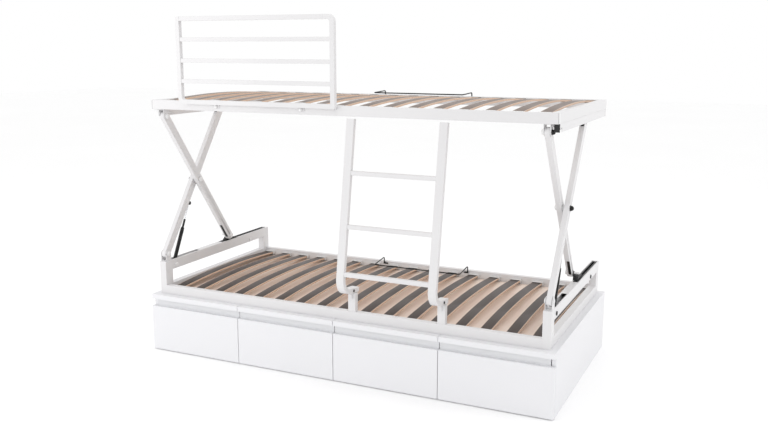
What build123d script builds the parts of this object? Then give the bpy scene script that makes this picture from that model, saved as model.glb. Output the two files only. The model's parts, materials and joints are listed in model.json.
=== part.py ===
from build123d import *
import os
from math import sin, cos, tan, radians, degrees

os.makedirs("parts", exist_ok=True)

# Fold-down bunk: a four-drawer base, a fixed lower slatted frame on top of it
# and an upper slatted frame carried by a scissor linkage at each end.
# X runs along the length, Y from front to back, Z up; the origin is on the
# floor under the middle of the steel frames. Millimetres.

# ---------------------------------------------------------------- dimensions
FRAME_L = 1900.0          # steel frames, outside length
FRAME_W = 900.0           # steel frames, outside width
SIDE_T = 25.0             # long rail tube, width across Y
END_T = 34.0              # end rail tube, width across X
WALL = 2.0                # tube wall

BASE_X = 980.0            # half length of the base cabinet
BASE_Y0 = -485.0          # face of the drawer fronts
BASE_Y1 = 480.0           # back of the cabinet
BASE_TOP = 275.7          # top of the cabinet
TOP_T = 23.3              # top panel thickness
PANEL = 18.0              # carcass panel thickness
FRONT_T = 19.0            # drawer front thickness
FRONT_TOP = 218.0         # drawer front upper edge, below the finger recess
INNER_TOP = 248.0         # drawer box front wall, upper edge
INNER_T = 16.0
SPLITS = (-490.5, 2.8, 492.7)
FRONT_GAP = 3.0
BOX_T = 12.0
BOX_DEPTH = 700.0
BOX_H = 190.0

LOW_TOP = 318.0           # lower frame rail top
UP_BOT = 1157.0           # upper frame rail underside
UP_TOP = 1199.0           # upper frame rail top
TRACK_Z0 = 385.0          # end track rail underside
TRACK_Z1 = 432.5          # end track rail top

LATH_N = 17
LATH_PITCH = 110.5
LATH_W = 50.0
LATH_T = 8.0
LOW_LATH_END = 298.5      # lath top face at its ends, lower frame
UP_LATH_END = 1193.5
LATH_CROWN = 18.5

# scissor linkage (side view, Y and Z)
ARM_L = 810.1
ARM_ANGLE = 54.41
PY, PZ = -421.5, 466.0    # front lower pivot
ARM_D = 38.0              # arm depth
ARM_W = 22.0              # arm width across X
XA = 904.0                # inner arm, centre
XB = 934.5                # outer arm, centre
FOLD = 50.2               # travel of the arms from raised to folded

ca, sa = cos(radians(ARM_ANGLE)), sin(radians(ARM_ANGLE))
TY, TZ = PY, PZ + ARM_L * sa                 # front upper pivot
MY, MZ = PY + ARM_L * ca / 2, PZ + ARM_L * sa / 2
FY, FZ = PY + ARM_L * ca, PZ                 # foot of the inner arm
RY, RZ = PY + ARM_L * ca, TZ                 # roller end of the outer arm

STRUT_Y, STRUT_Z = -369.0, 404.0             # lower strut pin
STRUT_R = 285.0
STRUT_OFF = 29.5
UY = PY + STRUT_R * ca + STRUT_OFF * sa      # upper strut pin
UZ = PZ + STRUT_R * sa - STRUT_OFF * ca
BOLT_Y2, BOLT_Z2 = 267.0, 398.0

LADDER_X = (79.5, 492.5)
LADDER_W = 34.0
LADDER_D = 20.0
LADDER_TOP = (-440.0, 1147.0)
LADDER_BEND = (-556.5, 427.0)
LADDER_TIP = (-413.0, 412.0)
LADDER_R = 60.0
HINGE_Y, HINGE_Z = -462.0, 416.5             # ladder hinge line
RUNG_Z = (926.0, 705.0, 508.0)

GUARD_X0, GUARD_X1 = -781.6, 16.6
GUARD_Y0, GUARD_Y1 = -470.0, -450.0
GUARD_Z = (1196.0, 1288.0, 1379.0, 1471.0, 1561.0)
GUARD_T = 20.0
HOOK_X = (-607.8, -386.8, -165.8)        # midway between laths
BOLT_X = (-585.0, -150.0)

STOP_X0, STOP_X1 = -172.0, 297.0

HALF_L, HALF_W = FRAME_L / 2, FRAME_W / 2
IN_X = HALF_L - END_T                        # inner face of the end rails
IN_Y = HALF_W - SIDE_T                       # inner face of the long rails

# ------------------------------------------------------------ base cabinet
with BuildPart() as cabinet_side_panels:
    for s in (-1, 1):
        with BuildSketch(Plane.XY):
            with Locations((s * (BASE_X - PANEL / 2), (-463 + BASE_Y1) / 2)):
                Rectangle(PANEL, BASE_Y1 + 463)
        extrude(amount=BASE_TOP - TOP_T)

with BuildPart() as cabinet_back_panel:
    with BuildSketch(Plane.XY.offset(4)):
        with Locations((0, BASE_Y1 - PANEL / 2)):
            Rectangle(2 * (BASE_X - PANEL), PANEL)
    extrude(amount=BASE_TOP - TOP_T - 4)

with BuildPart() as cabinet_dividers:
    for xs in SPLITS:
        with BuildSketch(Plane.XY):
            with Locations((xs, (-447 + BASE_Y1 - PANEL) / 2)):
                Rectangle(PANEL, BASE_Y1 - PANEL + 447)
        extrude(amount=BASE_TOP - TOP_T)

TOP_EDGES = ((-BASE_X, SPLITS[0] - 1), (SPLITS[0] + 1, SPLITS[1] - 1),
             (SPLITS[1] + 1, SPLITS[2] - 1), (SPLITS[2] + 1, BASE_X))
with BuildPart() as cabinet_top_panels:
    for x0, x1 in TOP_EDGES:
        with BuildSketch(Plane.XY.offset(BASE_TOP - TOP_T)):
            with Locations(((x0 + x1) / 2, (BASE_Y0 + BASE_Y1) / 2)):
                Rectangle(x1 - x0, BASE_Y1 - BASE_Y0)
        extrude(amount=TOP_T)

# drawer bays: faces of the panels either side of each drawer
BAYS = ((-BASE_X + PANEL, SPLITS[0] - PANEL / 2), (SPLITS[0] + PANEL / 2, SPLITS[1] - PANEL / 2),
        (SPLITS[1] + PANEL / 2, SPLITS[2] - PANEL / 2), (SPLITS[2] + PANEL / 2, BASE_X - PANEL))
FRONTS = ((-BASE_X, SPLITS[0] - FRONT_GAP / 2), (SPLITS[0] + FRONT_GAP / 2, SPLITS[1] - FRONT_GAP / 2),
          (SPLITS[1] + FRONT_GAP / 2, SPLITS[2] - FRONT_GAP / 2), (SPLITS[2] + FRONT_GAP / 2, BASE_X))

# angle runners screwed to the bay walls, one each side of each drawer
RUN_Z = 60.0
with BuildPart() as drawer_runner_rails:
    for x0, x1 in BAYS:
        for xw, d in ((x0, 1), (x1, -1)):
            with BuildSketch(Plane.XZ.offset(420)):
                with Locations((xw + d * 0.75, RUN_Z + 9)):
                    Rectangle(1.5, 30)
                with Locations((xw + d * 8.0, RUN_Z - 5.25)):
                    Rectangle(16, 1.5)
            extrude(amount=-800)


# ------------------------------------------------------------ four drawers
with BuildPart() as drawer_1_front:
    with BuildSketch(Plane.XZ.offset(-BASE_Y0 - FRONT_T)):
        with Locations(((FRONTS[0][0] + FRONTS[0][1]) / 2, (4 + FRONT_TOP) / 2)):
            Rectangle(FRONTS[0][1] - FRONTS[0][0], FRONT_TOP - 4)
    extrude(amount=FRONT_T)
    fillet(drawer_1_front.edges().filter_by(Axis.X).group_by(Axis.Y)[0], 1.0)
with BuildPart() as drawer_2_front:
    with BuildSketch(Plane.XZ.offset(-BASE_Y0 - FRONT_T)):
        with Locations(((FRONTS[1][0] + FRONTS[1][1]) / 2, (4 + FRONT_TOP) / 2)):
            Rectangle(FRONTS[1][1] - FRONTS[1][0], FRONT_TOP - 4)
    extrude(amount=FRONT_T)
    fillet(drawer_2_front.edges().filter_by(Axis.X).group_by(Axis.Y)[0], 1.0)
with BuildPart() as drawer_3_front:
    with BuildSketch(Plane.XZ.offset(-BASE_Y0 - FRONT_T)):
        with Locations(((FRONTS[2][0] + FRONTS[2][1]) / 2, (4 + FRONT_TOP) / 2)):
            Rectangle(FRONTS[2][1] - FRONTS[2][0], FRONT_TOP - 4)
    extrude(amount=FRONT_T)
    fillet(drawer_3_front.edges().filter_by(Axis.X).group_by(Axis.Y)[0], 1.0)
with BuildPart() as drawer_4_front:
    with BuildSketch(Plane.XZ.offset(-BASE_Y0 - FRONT_T)):
        with Locations(((FRONTS[3][0] + FRONTS[3][1]) / 2, (4 + FRONT_TOP) / 2)):
            Rectangle(FRONTS[3][1] - FRONTS[3][0], FRONT_TOP - 4)
    extrude(amount=FRONT_T)
    fillet(drawer_4_front.edges().filter_by(Axis.X).group_by(Axis.Y)[0], 1.0)

# box front walls: a little shorter than the outer fronts at the cabinet ends
INNER = ((-BASE_X + PANEL + 3, FRONTS[0][1]), FRONTS[1], FRONTS[2], (FRONTS[3][0], BASE_X - PANEL - 3))
INNER_Y0 = BASE_Y0 + FRONT_T                 # front face of the box front wall
BOX_Y0 = INNER_Y0 + INNER_T                  # front of the drawer sides
BOX_Y1 = BOX_Y0 + BOX_DEPTH
BOX_Z0 = 56.0
SIDE_CLEAR = 14.0


with BuildPart() as drawer_1_box:
    bx0, bx1 = BAYS[0][0] + SIDE_CLEAR, BAYS[0][1] - SIDE_CLEAR
    with BuildSketch(Plane.XZ.offset(-INNER_Y0 - INNER_T)):
        with Locations(((INNER[0][0] + INNER[0][1]) / 2, (6 + INNER_TOP) / 2)):
            Rectangle(INNER[0][1] - INNER[0][0], INNER_TOP - 6)
    extrude(amount=INNER_T)
    with BuildSketch(Plane.XY.offset(BOX_Z0)):
        with Locations(((bx0 + bx1) / 2, (BOX_Y0 + BOX_Y1) / 2)):
            Rectangle(bx1 - bx0, BOX_DEPTH)
    extrude(amount=BOX_H - 20)
    with BuildSketch(Plane.XY.offset(BOX_Z0 + 8)):
        with Locations(((bx0 + bx1) / 2, (BOX_Y0 + BOX_Y1) / 2)):
            Rectangle(bx1 - bx0 - 2 * BOX_T, BOX_DEPTH - 2 * BOX_T)
    extrude(amount=BOX_H, mode=Mode.SUBTRACT)
    # steel strips that ride on the angle runners
    for xw, d in ((bx0, -1), (bx1, 1)):
        with BuildSketch(Plane.XZ.offset(-BOX_Y0)):
            with Locations((xw + d * 5.0, RUN_Z + 3.0)):
                Rectangle(9.9, 14)
        extrude(amount=-BOX_DEPTH)
with BuildPart() as drawer_2_box:
    bx0, bx1 = BAYS[1][0] + SIDE_CLEAR, BAYS[1][1] - SIDE_CLEAR
    with BuildSketch(Plane.XZ.offset(-INNER_Y0 - INNER_T)):
        with Locations(((INNER[1][0] + INNER[1][1]) / 2, (6 + INNER_TOP) / 2)):
            Rectangle(INNER[1][1] - INNER[1][0], INNER_TOP - 6)
    extrude(amount=INNER_T)
    with BuildSketch(Plane.XY.offset(BOX_Z0)):
        with Locations(((bx0 + bx1) / 2, (BOX_Y0 + BOX_Y1) / 2)):
            Rectangle(bx1 - bx0, BOX_DEPTH)
    extrude(amount=BOX_H - 20)
    with BuildSketch(Plane.XY.offset(BOX_Z0 + 8)):
        with Locations(((bx0 + bx1) / 2, (BOX_Y0 + BOX_Y1) / 2)):
            Rectangle(bx1 - bx0 - 2 * BOX_T, BOX_DEPTH - 2 * BOX_T)
    extrude(amount=BOX_H, mode=Mode.SUBTRACT)
    # steel strips that ride on the angle runners
    for xw, d in ((bx0, -1), (bx1, 1)):
        with BuildSketch(Plane.XZ.offset(-BOX_Y0)):
            with Locations((xw + d * 5.0, RUN_Z + 3.0)):
                Rectangle(9.9, 14)
        extrude(amount=-BOX_DEPTH)
with BuildPart() as drawer_3_box:
    bx0, bx1 = BAYS[2][0] + SIDE_CLEAR, BAYS[2][1] - SIDE_CLEAR
    with BuildSketch(Plane.XZ.offset(-INNER_Y0 - INNER_T)):
        with Locations(((INNER[2][0] + INNER[2][1]) / 2, (6 + INNER_TOP) / 2)):
            Rectangle(INNER[2][1] - INNER[2][0], INNER_TOP - 6)
    extrude(amount=INNER_T)
    with BuildSketch(Plane.XY.offset(BOX_Z0)):
        with Locations(((bx0 + bx1) / 2, (BOX_Y0 + BOX_Y1) / 2)):
            Rectangle(bx1 - bx0, BOX_DEPTH)
    extrude(amount=BOX_H - 20)
    with BuildSketch(Plane.XY.offset(BOX_Z0 + 8)):
        with Locations(((bx0 + bx1) / 2, (BOX_Y0 + BOX_Y1) / 2)):
            Rectangle(bx1 - bx0 - 2 * BOX_T, BOX_DEPTH - 2 * BOX_T)
    extrude(amount=BOX_H, mode=Mode.SUBTRACT)
    # steel strips that ride on the angle runners
    for xw, d in ((bx0, -1), (bx1, 1)):
        with BuildSketch(Plane.XZ.offset(-BOX_Y0)):
            with Locations((xw + d * 5.0, RUN_Z + 3.0)):
                Rectangle(9.9, 14)
        extrude(amount=-BOX_DEPTH)
with BuildPart() as drawer_4_box:
    bx0, bx1 = BAYS[3][0] + SIDE_CLEAR, BAYS[3][1] - SIDE_CLEAR
    with BuildSketch(Plane.XZ.offset(-INNER_Y0 - INNER_T)):
        with Locations(((INNER[3][0] + INNER[3][1]) / 2, (6 + INNER_TOP) / 2)):
            Rectangle(INNER[3][1] - INNER[3][0], INNER_TOP - 6)
    extrude(amount=INNER_T)
    with BuildSketch(Plane.XY.offset(BOX_Z0)):
        with Locations(((bx0 + bx1) / 2, (BOX_Y0 + BOX_Y1) / 2)):
            Rectangle(bx1 - bx0, BOX_DEPTH)
    extrude(amount=BOX_H - 20)
    with BuildSketch(Plane.XY.offset(BOX_Z0 + 8)):
        with Locations(((bx0 + bx1) / 2, (BOX_Y0 + BOX_Y1) / 2)):
            Rectangle(bx1 - bx0 - 2 * BOX_T, BOX_DEPTH - 2 * BOX_T)
    extrude(amount=BOX_H, mode=Mode.SUBTRACT)
    # steel strips that ride on the angle runners
    for xw, d in ((bx0, -1), (bx1, 1)):
        with BuildSketch(Plane.XZ.offset(-BOX_Y0)):
            with Locations((xw + d * 5.0, RUN_Z + 3.0)):
                Rectangle(9.9, 14)
        extrude(amount=-BOX_DEPTH)

# ------------------------------------------------------- lower steel frame
with BuildPart() as lower_side_rails:
    for s in (-1, 1):
        with BuildSketch(Plane.YZ.offset(-IN_X)):
            with Locations((s * (HALF_W - SIDE_T / 2), (BASE_TOP + LOW_TOP) / 2)):
                Rectangle(SIDE_T, LOW_TOP - BASE_TOP)
                Rectangle(SIDE_T - 2 * WALL, LOW_TOP - BASE_TOP - 2 * WALL, mode=Mode.SUBTRACT)
        extrude(amount=2 * IN_X)

with BuildPart() as lower_end_rails:
    for s in (-1, 1):
        with BuildSketch(Plane.XZ.offset(-400)):
            with Locations((s * (HALF_L - END_T / 2), (BASE_TOP + LOW_TOP) / 2)):
                Rectangle(END_T, LOW_TOP - BASE_TOP)
                Rectangle(END_T - 2 * WALL, LOW_TOP - BASE_TOP - 2 * WALL, mode=Mode.SUBTRACT)
        extrude(amount=800)

with BuildPart() as front_corner_posts:
    for s in (-1, 1):
        with BuildSketch(Plane.XY.offset(BASE_TOP)):
            with Locations((s * (HALF_L - END_T / 2), -425)):
                Rectangle(END_T, 50)
                Rectangle(END_T - 2 * WALL, 50 - 2 * WALL, mode=Mode.SUBTRACT)
        extrude(amount=TRACK_Z1 - WALL - BASE_TOP)
        with BuildSketch(Plane.XY.offset(TRACK_Z1 - WALL)):
            with Locations((s * (HALF_L - END_T / 2), -425)):
                Rectangle(END_T, 50)
        extrude(amount=WALL)

with BuildPart() as rear_corner_posts:
    for s in (-1, 1):
        with BuildSketch(Plane.XY.offset(BASE_TOP)):
            with Locations((s * (HALF_L - END_T / 2), 425)):
                Rectangle(END_T, 50)
                Rectangle(END_T - 2 * WALL, 50 - 2 * WALL, mode=Mode.SUBTRACT)
        extrude(amount=TRACK_Z0 - BASE_TOP)

# end track rails: box tube with a slot for the gas strut at the front and a
# groove for the foot shoe at the back
SLOT_Y0, SLOT_Y1 = -388.0, -175.0
GROOVE_Y0, GROOVE_Y1 = 20.0, 428.0
TRACK_LEN = HALF_W + 400
with BuildPart() as track_rails:
    for s in (-1, 1):
        xc = s * (HALF_L - END_T / 2)
        with BuildSketch(Plane.XZ.offset(400)):
            with Locations((xc, (TRACK_Z0 + TRACK_Z1) / 2)):
                Rectangle(END_T, TRACK_Z1 - TRACK_Z0)
                Rectangle(END_T - 2 * WALL, TRACK_Z1 - TRACK_Z0 - 2 * WALL, mode=Mode.SUBTRACT)
        extrude(amount=-TRACK_LEN)
        with BuildSketch(Plane.XZ.offset(-HALF_W + WALL)):
            with Locations((xc, (TRACK_Z0 + TRACK_Z1) / 2)):
                Rectangle(END_T - 2 * WALL, TRACK_Z1 - TRACK_Z0 - 2 * WALL)
        extrude(amount=-WALL)
        with BuildSketch(Plane.XY.offset(TRACK_Z1 - WALL - 1)):
            with Locations((s * XB, (SLOT_Y0 + SLOT_Y1) / 2)):
                Rectangle(22, SLOT_Y1 - SLOT_Y0)
            with Locations((s * XB, (GROOVE_Y0 + GROOVE_Y1) / 2)):
                Rectangle(14, GROOVE_Y1 - GROOVE_Y0)
        extrude(amount=WALL + 2, mode=Mode.SUBTRACT)

with BuildPart() as track_liners:
    for s in (-1, 1):
        with BuildSketch(Plane.XZ.offset(-GROOVE_Y0)):
            with Locations((s * XB, TRACK_Z1 - 7)):
                Rectangle(13.6, 14)
            with Locations((s * XB, TRACK_Z1 + 0.75)):
                Rectangle(22, 1.5)
            with Locations((s * XB, TRACK_Z1 - 4.5)):
                Rectangle(10, 15, mode=Mode.SUBTRACT)
        extrude(amount=-(GROOVE_Y1 - GROOVE_Y0 - 0.4))

# clevises on the front posts that carry the outer arms
with BuildPart() as lower_pivot_clevises:
    for s in (-1, 1):
        for xe in (XB - ARM_W / 2 - 3.0, XB + ARM_W / 2 + 3.0):
            with BuildSketch(Plane.YZ.offset(s * xe - 1.25)):
                with Locations((PY, (TRACK_Z1 + PZ) / 2)):
                    Rectangle(38, PZ - TRACK_Z1)
                with Locations((PY, PZ)):
                    Circle(19)
                    Circle(6.1, mode=Mode.SUBTRACT)
            extrude(amount=2.5)
        with BuildSketch(Plane.XY.offset(TRACK_Z1)):
            with Locations((s * XB, PY)):
                Rectangle(ARM_W + 8.5, 38)
        extrude(amount=3)

with BuildPart() as lower_pivot_bolts:
    for s in (-1, 1):
        with BuildSketch(Plane.YZ.offset(s * (XB - ARM_W / 2 - 4.25) if s > 0 else -(XB + ARM_W / 2 + 4.25))):
            with Locations((PY, PZ)):
                Circle(6)
        extrude(amount=ARM_W + 8.5)
        with BuildSketch(Plane.YZ.offset(XB + ARM_W / 2 + 4.25 if s > 0 else -(XB + ARM_W / 2 + 4.25) - 4)):
            with Locations((PY, PZ)):
                RegularPolygon(10, 6)
        extrude(amount=4)

with BuildPart() as lower_pivot_knobs:
    for s in (-1, 1):
        with BuildSketch(Plane(origin=(s * (XB - ARM_W / 2 - 4.25), PY, PZ), x_dir=(0, 1, 0), z_dir=(-s, 0, 0))):
            Circle(12.5)
        extrude(amount=7)

# strut pins, through both walls of the track rail, with their covers
with BuildPart() as strut_pins:
    for s in (-1, 1):
        with BuildSketch(Plane.YZ.offset(HALF_L - END_T + WALL if s > 0 else -HALF_L + WALL)):
            with Locations((STRUT_Y, STRUT_Z)):
                Circle(3.2)
        extrude(amount=END_T - 2 * WALL)
        with BuildSketch(Plane.YZ.offset(HALF_L if s > 0 else -HALF_L - 3)):
            with Locations((STRUT_Y, STRUT_Z), (BOLT_Y2, BOLT_Z2)):
                Circle(9)
        extrude(amount=3)

with BuildPart() as frame_bolt_caps:
    for s in (-1, 1):
        with BuildSketch(Plane.YZ.offset(HALF_L - END_T - 4 if s > 0 else -HALF_L + END_T)):
            with Locations((STRUT_Y, STRUT_Z), (BOLT_Y2, BOLT_Z2)):
                Circle(10)
        extrude(amount=4)

# arched sprung laths and their end sockets
LATH_X = [(i - (LATH_N - 1) / 2) * LATH_PITCH for i in range(LATH_N)]
with BuildPart() as lower_laths:
    for x in LATH_X:
        with BuildSketch(Plane.YZ.offset(x - LATH_W / 2)):
            with BuildLine():
                ThreePointArc((-IN_Y + 2, LOW_LATH_END), (0, LOW_LATH_END + LATH_CROWN), (IN_Y - 2, LOW_LATH_END))
                Line((IN_Y - 2, LOW_LATH_END), (IN_Y - 2, LOW_LATH_END - LATH_T))
                ThreePointArc((IN_Y - 2, LOW_LATH_END - LATH_T), (0, LOW_LATH_END + LATH_CROWN - LATH_T), (-IN_Y + 2, LOW_LATH_END - LATH_T))
                Line((-IN_Y + 2, LOW_LATH_END - LATH_T), (-IN_Y + 2, LOW_LATH_END))
            make_face()
        extrude(amount=LATH_W)

with BuildPart() as lower_lath_sockets:
    for x in LATH_X:
        for s in (-1, 1):
            with BuildSketch(Plane.XZ.offset(IN_Y if s < 0 else -IN_Y + 22)):
                with Locations((x, LOW_LATH_END - 3)):
                    Rectangle(LATH_W + 4, 16)
                with Locations((x, LOW_LATH_END - 2.9)):
                    Rectangle(LATH_W + 0.4, 11.4, mode=Mode.SUBTRACT)
            extrude(amount=-22)

with BuildPart() as lower_deck_panel:
    with BuildSketch(Plane.XY.offset(BASE_TOP)):
        Rectangle(2 * IN_X - 2, 2 * IN_Y - 2)
    extrude(amount=4)

# wire mattress stops on the rear rails
with BuildPart() as lower_mattress_stop:
    with BuildLine():
        low_wire = Polyline((STOP_X0, 437, LOW_TOP), (STOP_X0, 433, LOW_TOP + 22), (STOP_X0, 300, LOW_TOP + 8),
                 (STOP_X1, 300, LOW_TOP + 8), (STOP_X1, 433, LOW_TOP + 22), (STOP_X1, 437, LOW_TOP))
    with BuildSketch(Plane(origin=low_wire @ 0, z_dir=low_wire % 0)):
        Circle(3)
    sweep(transition=Transition.ROUND)

# ladder posts on the lower front rail, each with a hinge tongue
with BuildPart() as ladder_posts:
    for x in LADDER_X:
        with BuildSketch(Plane.XY.offset(LOW_TOP)):
            with Locations((x, -HALF_W + SIDE_T / 2)):
                Rectangle(LADDER_W, SIDE_T)
                Rectangle(LADDER_W - 2 * WALL, SIDE_T - 2 * WALL, mode=Mode.SUBTRACT)
        extrude(amount=401 - LOW_TOP - WALL)
        with BuildSketch(Plane.XY.offset(401 - WALL)):
            with Locations((x, -HALF_W + SIDE_T / 2)):
                Rectangle(LADDER_W, SIDE_T)
        extrude(amount=WALL)
        with BuildSketch(Plane.YZ.offset(x - 5)):
            with BuildLine():
                Polyline((-HALF_W, 372), (-HALF_W, 401), (-HALF_W + 4, 401), (-HALF_W + 4, 408), (HINGE_Y, HINGE_Z + 7.5),
                         (HINGE_Y - 7.5, HINGE_Z), (HINGE_Y - 7.5, HINGE_Z - 12), close=True)
            make_face()
            with Locations((HINGE_Y, HINGE_Z)):
                Circle(3.56, mode=Mode.SUBTRACT)
        extrude(amount=10)

# -------------------------------------------------------- scissor linkage
B_AXIS = Vector(0, ca, sa)
A_AXIS = Vector(0, ca, -sa)

with BuildPart() as outer_arms:
    for s in (-1, 1):
        with BuildSketch(Plane(origin=(s * XB - ARM_W / 2, PY, PZ), x_dir=B_AXIS, z_dir=(1, 0, 0))):
            with Locations((ARM_L / 2, 0)):
                SlotOverall(ARM_L + ARM_D, ARM_D)
            with Locations((0, 0), (ARM_L, 0)):
                Circle(6.06, mode=Mode.SUBTRACT)
            with Locations((ARM_L / 2, 0)):
                Circle(6.06, mode=Mode.SUBTRACT)
        extrude(amount=ARM_W)
        # hollow section between the two ends
        with BuildSketch(Plane(origin=(s * XB - ARM_W / 2 + WALL, PY, PZ), x_dir=B_AXIS, z_dir=(1, 0, 0))):
            with Locations((ARM_L / 2, 0)):
                Rectangle(ARM_L - 60, ARM_D - 2 * WALL)
            with Locations((ARM_L / 2, 0)):
                Circle(10, mode=Mode.SUBTRACT)
        extrude(amount=ARM_W - 2 * WALL, mode=Mode.SUBTRACT)
        # slot for the roller in the upper end
        with BuildSketch(Plane(origin=(s * XB - 7, PY, PZ), x_dir=B_AXIS, z_dir=(1, 0, 0))):
            with Locations((ARM_L + 10, 0)):
                Rectangle(80, ARM_D + 20)
        extrude(amount=14, mode=Mode.SUBTRACT)

with BuildPart() as inner_arms:
    for s in (-1, 1):
        with BuildSketch(Plane(origin=(s * XA - ARM_W / 2, TY, TZ), x_dir=A_AXIS, z_dir=(1, 0, 0))):
            with Locations((ARM_L / 2, 0)):
                SlotOverall(ARM_L + ARM_D, ARM_D)
            with Locations((0, 0), (ARM_L / 2, 0)):
                Circle(6.06, mode=Mode.SUBTRACT)
            with Locations((ARM_L, 0)):
                Circle(5, mode=Mode.SUBTRACT)
        extrude(amount=ARM_W)
        with BuildSketch(Plane(origin=(s * XA - ARM_W / 2 + WALL, TY, TZ), x_dir=A_AXIS, z_dir=(1, 0, 0))):
            with Locations((ARM_L / 2, 0)):
                Rectangle(ARM_L - 60, ARM_D - 2 * WALL)
            with Locations((ARM_L / 2, 0)):
                Circle(10, mode=Mode.SUBTRACT)
        extrude(amount=ARM_W - 2 * WALL, mode=Mode.SUBTRACT)

# black straps on the lower edge of each inner arm, at the foot
with BuildPart() as foot_straps:
    for s in (-1, 1):
        with BuildSketch(Plane(origin=(s * XA - 1, TY, TZ), x_dir=A_AXIS, z_dir=(1, 0, 0))):
            with Locations((ARM_L - 52, -ARM_D / 2 - 1.5)):
                Rectangle(84, 3)
        extrude(amount=12)

with BuildPart() as foot_axles:
    for s in (-1, 1):
        with BuildSketch(Plane.YZ.offset(XA - ARM_W / 2 if s > 0 else -XB - 9)):
            with Locations((FY, FZ)):
                Circle(5)
        extrude(amount=XB + 9 - XA + ARM_W / 2)
        with BuildSketch(Plane(origin=(s * (XA - ARM_W / 2), FY, FZ), x_dir=(0, 1, 0), z_dir=(-s, 0, 0))):
            Circle(11)
        extrude(amount=9)

# wedge shoes that run on the track
with BuildPart() as track_shoes:
    for s in (-1, 1):
        with BuildSketch(Plane.YZ.offset(s * XB - 11)):
            with BuildLine():
                Polyline((FY - 9, TRACK_Z1 + 2.0), (FY - 10, FZ), (FY - 7, FZ + 7), (FY, FZ + 10), (FY + 7, FZ + 7), (FY + 12, FZ - 3),
                         (FY + 24, TRACK_Z1 + 19), (FY + 70, TRACK_Z1 + 5), (FY + 70, TRACK_Z1 + 2.0), close=True)
            make_face()
            with Locations((FY, FZ)):
                Circle(5.06, mode=Mode.SUBTRACT)
        extrude(amount=22)
        with BuildSketch(Plane.YZ.offset(s * XB - 4)):
            with Locations((FY + 14, TRACK_Z1 - 2.5)):
                Rectangle(44, 11)
        extrude(amount=8)

with BuildPart() as outer_arm_bolts:
    for s in (-1, 1):
        # roller axle in the forked upper end
        with BuildSketch(Plane.YZ.offset(s * XB - 11)):
            with Locations((RY, RZ)):
                Circle(6)
        extrude(amount=22)
        with BuildSketch(Plane.YZ.offset(XA - ARM_W / 2 if s > 0 else -XB - ARM_W / 2)):
            with Locations((MY, MZ)):
                Circle(6)
        extrude(amount=XB - XA + ARM_W)
        with BuildSketch(Plane.YZ.offset(XA + ARM_W / 2 + 1 if s > 0 else -XB + ARM_W / 2)):
            with Locations((MY, MZ)):
                Circle(12)
        extrude(amount=XB - XA - ARM_W - 1)
        with BuildSketch(Plane.YZ.offset(XB + ARM_W / 2 if s > 0 else -XB - ARM_W / 2 - 8)):
            with Locations((MY, MZ)):
                RegularPolygon(11, 6)
        extrude(amount=8)

with BuildPart() as mid_pivot_knobs:
    for s in (-1, 1):
        with BuildSketch(Plane(origin=(s * (XA - ARM_W / 2 - 0.5), MY, MZ), x_dir=(0, 1, 0), z_dir=(-s, 0, 0))):
            Circle(12.5)
        extrude(amount=12)

# strut brackets under the outer arms
with BuildPart() as strut_brackets:
    for s in (-1, 1):
        for xe in (-7.0, 4.5):
            with BuildSketch(Plane(origin=(s * XB + xe, PY, PZ), x_dir=B_AXIS, z_dir=(1, 0, 0))):
                with Locations((STRUT_R, -STRUT_OFF / 2 - ARM_D / 4)):
                    Rectangle(18, STRUT_OFF - ARM_D / 2)
                with Locations((STRUT_R, -STRUT_OFF)):
                    Circle(9)
            extrude(amount=2.5)
        with BuildSketch(Plane(origin=(s * XB - 7, PY, PZ), x_dir=B_AXIS, z_dir=(1, 0, 0))):
            with Locations((STRUT_R, -STRUT_OFF)):
                Circle(3)
        extrude(amount=14)

UV = Vector(0, UY - STRUT_Y, UZ - STRUT_Z)
STRUT_LEN = UV.length
UD = UV.normalized()
with BuildPart() as strut_rods:
    for s in (-1, 1):
        with BuildSketch(Plane(origin=(s * XB - 3.5, UY, UZ), x_dir=(0, 1, 0), z_dir=(1, 0, 0))):
            Circle(7.5)
            Circle(3.06, mode=Mode.SUBTRACT)
        extrude(amount=7)
        with BuildSketch(Plane(origin=(s * XB, UY - UD.Y * 6.5, UZ - UD.Z * 6.5), z_dir=(0, -UD.Y, -UD.Z))):
            Circle(3)
        extrude(amount=190)

with BuildPart() as strut_cylinders:
    for s in (-1, 1):
        with BuildSketch(Plane(origin=(s * XB, STRUT_Y + UD.Y * 13, STRUT_Z + UD.Z * 13), z_dir=(0, UD.Y, UD.Z))):
            Circle(9)
        extrude(amount=170)
        with BuildSketch(Plane(origin=(s * XB, STRUT_Y + UD.Y * 23, STRUT_Z + UD.Z * 23), z_dir=(0, UD.Y, UD.Z))):
            Circle(5.5)
        extrude(amount=150, mode=Mode.SUBTRACT)
        with BuildSketch(Plane(origin=(s * XB, STRUT_Y + UD.Y * 150, STRUT_Z + UD.Z * 150), z_dir=(0, UD.Y, UD.Z))):
            Circle(3.1)
        extrude(amount=50, mode=Mode.SUBTRACT)
        with BuildSketch(Plane(origin=(s * XB - 4, STRUT_Y, STRUT_Z), x_dir=(0, 1, 0), z_dir=(1, 0, 0))):
            Circle(12.5)
        extrude(amount=8)
        with BuildSketch(Plane(origin=(s * XB - 5, STRUT_Y, STRUT_Z), x_dir=(0, 1, 0), z_dir=(1, 0, 0))):
            Circle(10.5)
        extrude(amount=10, mode=Mode.SUBTRACT)

with BuildPart() as upper_rollers:
    for s in (-1, 1):
        with BuildSketch(Plane.YZ.offset(s * XB - 6)):
            with Locations((RY, RZ)):
                Circle(25)
                Circle(6.1, mode=Mode.SUBTRACT)
        extrude(amount=12)

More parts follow.
